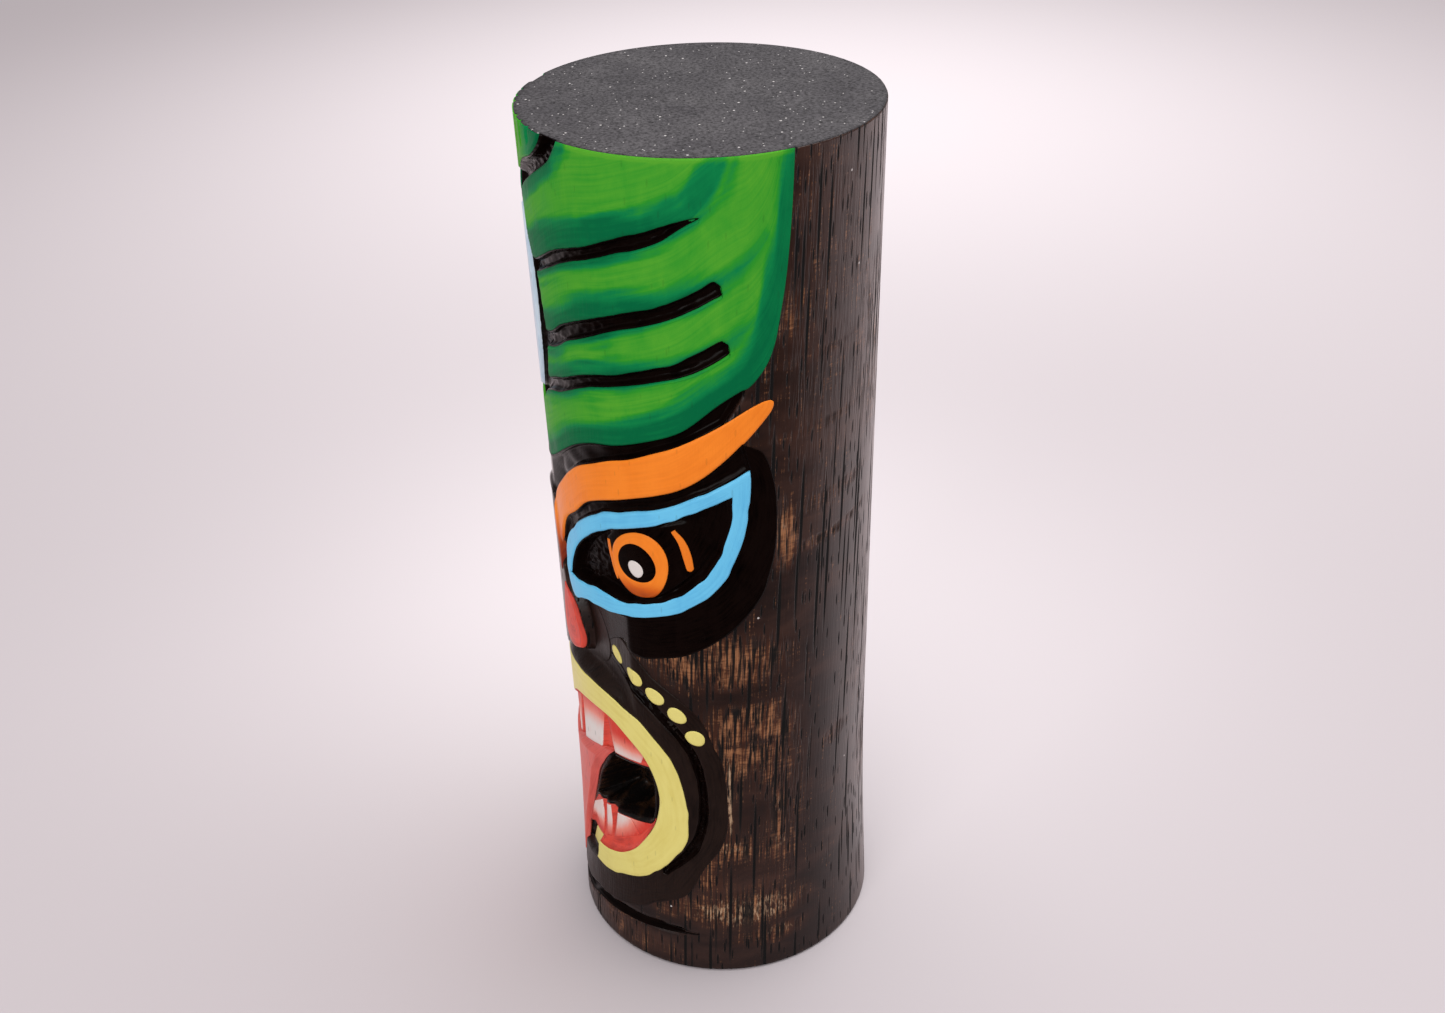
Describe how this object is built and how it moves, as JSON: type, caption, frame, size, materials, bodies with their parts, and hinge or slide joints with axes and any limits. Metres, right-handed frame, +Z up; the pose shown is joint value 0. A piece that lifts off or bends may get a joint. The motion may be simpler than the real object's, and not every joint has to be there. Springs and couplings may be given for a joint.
{
  "type": "carved tiki figure",
  "caption": "Carved wooden tiki totem: a round log with a painted relief face, leaf headdress, glaring eyes and open toothed mouth with a long tongue.",
  "frame": {"origin": "middle of the flat base that the log stands on", "axes": "+Z up along the log, the front of the face looks along -Y, the figure's own left is +X"},
  "size_m": [0.0544, 0.0542, 0.1502],
  "materials": {
    "wood": "dark-stained, burnt and waxed; open pores",
    "crown_paint": "matte charcoal acrylic on sawn end grain",
    "green_paint": "brushed satin acrylic, blended light to dark",
    "pale_blue_paint": "brushed satin acrylic",
    "black_paint": "brushed satin acrylic",
    "orange_paint": "brushed satin acrylic",
    "sky_blue_paint": "brushed satin acrylic",
    "white_paint": "brushed satin acrylic, shaded red at the roots",
    "red_paint": "brushed satin acrylic",
    "tongue_paint": "brushed satin acrylic",
    "yellow_paint": "brushed satin acrylic"
  },
  "bodies": {
    "root": {"log": "wood", "crown_coat": "crown_paint", "headdress_coat": "green_paint", "centre_leaf_coat": "green_paint", "crown_groove_coat": "black_paint", "forehead_panel_coat": "pale_blue_paint", "panel_surround_coat": "black_paint", "leaf_groove_coat_left": "black_paint", "leaf_groove_coat_right": "black_paint", "headband_groove_coat": "black_paint", "brow_coat_left": "orange_paint", "brow_coat_right": "orange_paint", "brow_groove_coat_left": "black_paint", "brow_groove_coat_right": "black_paint", "eye_surround_coat_left": "black_paint", "eye_surround_coat_right": "black_paint", "eye_outline_coat_left": "sky_blue_paint", "eye_outline_coat_right": "sky_blue_paint", "eye_socket_coat_left": "black_paint", "eye_socket_coat_right": "black_paint", "iris_coat_left": "orange_paint", "iris_coat_right": "orange_paint", "eye_streak_coat_left": "orange_paint", "eye_streak_coat_right": "orange_paint", "pupil_dot_coat_left": "white_paint", "pupil_dot_coat_right": "white_paint", "nose_wing_coat_left": "red_paint", "nose_wing_coat_right": "red_paint", "nose_hollow_coat_left": "black_paint", "nose_hollow_coat_right": "black_paint", "lip_coat": "yellow_paint", "mouth_surround_coat": "black_paint", "lip_line_coat_left": "black_paint", "lip_line_coat_right": "black_paint", "cheek_dots_coat_left": "yellow_paint", "cheek_dots_coat_right": "yellow_paint", "gum_coat_upper": "red_paint", "gum_coat_lower_left": "red_paint", "gum_coat_lower_right": "red_paint", "teeth_coat_upper": "white_paint", "teeth_coat_lower_left": "white_paint", "teeth_coat_lower_right": "white_paint", "tongue_coat": "tongue_paint", "mouth_pocket_coat_left": "black_paint", "mouth_pocket_coat_right": "black_paint", "chin_groove_coat": "black_paint"}
  },
  "joints": []
}
